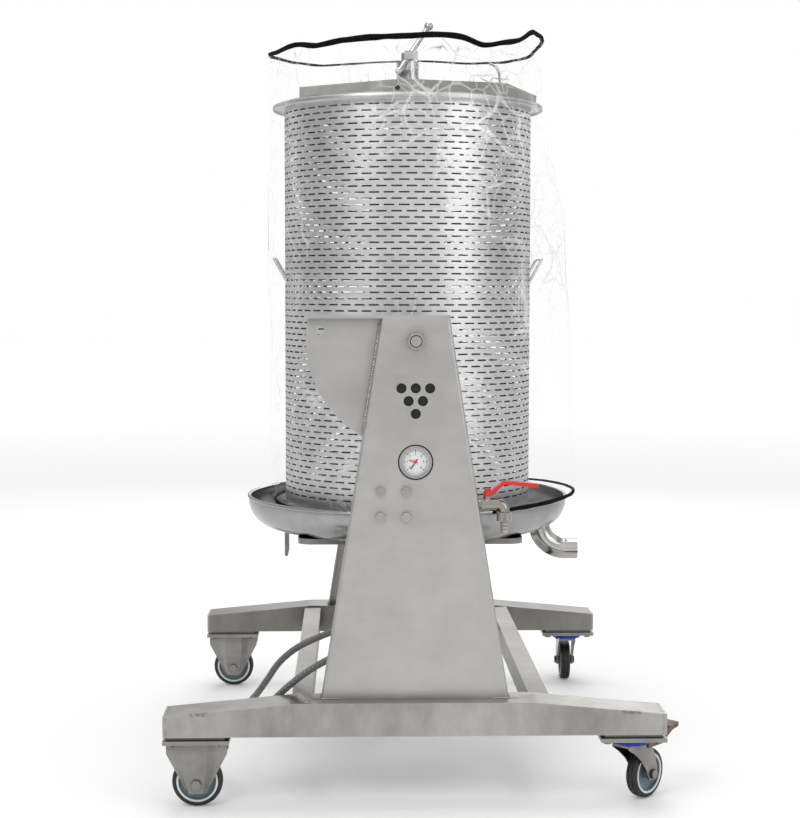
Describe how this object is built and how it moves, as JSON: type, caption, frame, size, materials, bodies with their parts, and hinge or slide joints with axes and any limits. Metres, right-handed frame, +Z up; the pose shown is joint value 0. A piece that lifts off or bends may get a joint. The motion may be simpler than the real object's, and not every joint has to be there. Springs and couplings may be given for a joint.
{
  "type": "hydraulic fruit press",
  "caption": "Water-pressure fruit press: slotted cage with an inner bladder over a juice bowl, tilting between two sheet towers on a wheeled frame, with gauge, drain tap and splash cover.",
  "frame": {"origin": "middle of the footprint, on the floor", "axes": "+X to the spout side, +Y from the gauge tower to the plain tower, +Z up"},
  "size_m": [1.0354, 1.1752, 1.606],
  "materials": {
    "satin_steel": "satin brushed stainless sheet",
    "polished_steel": "polished stainless",
    "nickel_brass": "nickel-plated brass",
    "red_plastic": "dipped red grip",
    "gauge_black": "black paint",
    "dial_white": "matt white",
    "lens_glass": "clear glass",
    "marker_red": "red paint",
    "zinc_steel": "zinc-plated pressed steel",
    "blue_plastic": "blue moulded ring",
    "brown_plastic": "brown moulded tread",
    "hub_plastic": "grey-blue moulding",
    "black_rubber": "black tread rubber",
    "bladder_rubber": "matt black rubber",
    "clear_film": "clear crinkled film",
    "hem_fabric": "black elastic hem",
    "braided_hose": "braid-covered pressure hose"
  },
  "bodies": {
    "frame": {"front_beam": "satin_steel", "rear_beam": "satin_steel", "beam_end_plates": "satin_steel", "left_brace": "satin_steel", "right_brace": "satin_steel", "front_tower": "satin_steel", "rear_tower": "satin_steel", "tower_caps": "satin_steel", "index_plate": "satin_steel", "pivot_bushes": "satin_steel", "manifold": "nickel_brass", "manifold_bolts": "polished_steel", "gauge_case": "gauge_black", "gauge_bezel": "polished_steel", "gauge_dial": "dial_white", "gauge_lens": "lens_glass", "drain_tap": "nickel_brass", "hose_tail": "nickel_brass", "caster_plates": "zinc_steel", "swivel_rings": "blue_plastic", "fixed_forks": "zinc_steel", "water_hose": "braided_hose", "rotary_union": "nickel_brass"},
    "basket": {"cradle": "satin_steel", "trunnions": "polished_steel", "pivot_nuts": "polished_steel", "base_pan": "satin_steel", "juice_bowl": "satin_steel", "bowl_bail": "satin_steel", "outlet_spout": "polished_steel", "base_disc": "satin_steel", "cage_shell": "satin_steel", "centre_column": "polished_steel", "bladder": "bladder_rubber", "water_inlet": "polished_steel", "splash_cover": "clear_film", "cover_hems": "hem_fabric"},
    "index_pin": {"index_pin": "polished_steel"},
    "lid": {"lid_disc": "satin_steel", "lid_bar": "satin_steel", "lid_grip": "satin_steel"},
    "clamp_washer": {"clamp_washer": "polished_steel"},
    "clamp": {"clamp_nut": "polished_steel", "clamp_bar": "polished_steel"},
    "gauge_pointer": {"gauge_pointer": "gauge_black"},
    "gauge_marker": {"gauge_marker": "marker_red"},
    "tap_lever": {"tap_lever": "red_plastic", "tap_ball": "nickel_brass"},
    "front_left_wheel": {"front_left_wheel": "hub_plastic", "front_left_tyre": "black_rubber"},
    "rear_left_wheel": {"rear_left_wheel": "hub_plastic", "rear_left_tyre": "black_rubber"},
    "front_right_wheel": {"front_right_wheel": "hub_plastic", "front_right_tyre": "black_rubber"},
    "rear_right_wheel": {"rear_right_wheel": "hub_plastic", "rear_right_tyre": "black_rubber"},
    "front_right_fork": {"front_right_fork": "zinc_steel"},
    "front_right_pedal": {"front_right_pedal": "brown_plastic"},
    "rear_right_fork": {"rear_right_fork": "zinc_steel"},
    "rear_right_pedal": {"rear_right_pedal": "brown_plastic"}
  },
  "joints": [
    {"name": "press_tilt", "type": "hinge", "parent": "frame", "child": "basket", "pos_m": [-0.02265, -0.04513, 0.918], "axis": [0, 1, 0], "range_deg": [0, 90]},
    {"name": "index_pin_slide", "type": "slide", "parent": "basket", "child": "index_pin", "axis": [0, -1, 0], "range_m": [0, 0.012]},
    {"name": "lid_lift", "type": "slide", "parent": "basket", "child": "lid", "axis": [0, 0, 1], "range_m": [0, 0.2]},
    {"name": "clamp_rise", "type": "slide", "parent": "lid", "child": "clamp_washer", "axis": [0, 0, 1], "range_m": [0, 0.0125]},
    {"name": "clamp_turn", "type": "hinge", "parent": "clamp_washer", "child": "clamp", "pos_m": [-0.02265, -0.04513, 1.5], "axis": [0, 0, 1], "range_deg": [0, 900]},
    {"name": "gauge_pointer_turn", "type": "hinge", "parent": "frame", "child": "gauge_pointer", "pos_m": [-0.02265, -0.54163, 0.681], "axis": [0, 1, 0], "range_deg": [0, 270]},
    {"name": "gauge_marker_turn", "type": "hinge", "parent": "frame", "child": "gauge_marker", "pos_m": [-0.02265, -0.54263, 0.681], "axis": [0, 1, 0], "range_deg": [-70, 200]},
    {"name": "tap_turn", "type": "hinge", "parent": "frame", "child": "tap_lever", "pos_m": [0.12035, -0.52963, 0.6], "axis": [0, 0, -1], "range_deg": [0, 90]},
    {"name": "front_left_wheel_spin", "type": "hinge", "parent": "frame", "child": "front_left_wheel", "pos_m": [-0.45265, -0.54513, 0.05], "axis": [0, 1, 0], "continuous": true},
    {"name": "front_right_swivel", "type": "hinge", "parent": "frame", "child": "front_right_fork", "pos_m": [0.40735, -0.54513, 0.12], "axis": [0, 0, 1], "continuous": true},
    {"name": "front_right_wheel_spin", "type": "hinge", "parent": "front_right_fork", "child": "front_right_wheel", "pos_m": [0.44129, -0.51119, 0.05], "axis": [-0.7071, 0.7071, 0], "continuous": true},
    {"name": "front_brake", "type": "hinge", "parent": "front_right_fork", "child": "front_right_pedal", "pos_m": [0.43139, -0.52109, 0.112], "axis": [-0.7071, 0.7071, 0], "range_deg": [0, 15]},
    {"name": "rear_left_wheel_spin", "type": "hinge", "parent": "frame", "child": "rear_left_wheel", "pos_m": [-0.45265, 0.45487, 0.05], "axis": [0, 1, 0], "continuous": true},
    {"name": "rear_right_swivel", "type": "hinge", "parent": "frame", "child": "rear_right_fork", "pos_m": [0.40735, 0.45487, 0.12], "axis": [0, 0, 1], "continuous": true},
    {"name": "rear_right_wheel_spin", "type": "hinge", "parent": "rear_right_fork", "child": "rear_right_wheel", "pos_m": [0.40903, 0.50284, 0.05], "axis": [-0.9994, 0.0349, 0], "continuous": true},
    {"name": "rear_brake", "type": "hinge", "parent": "rear_right_fork", "child": "rear_right_pedal", "pos_m": [0.40854, 0.48885, 0.112], "axis": [-0.9994, 0.0349, 0], "range_deg": [0, 15]}
  ],
  "couplings": [
    {"joint": "clamp_rise", "follows": "clamp_turn", "m_per_rad": 0.00079577}
  ]
}
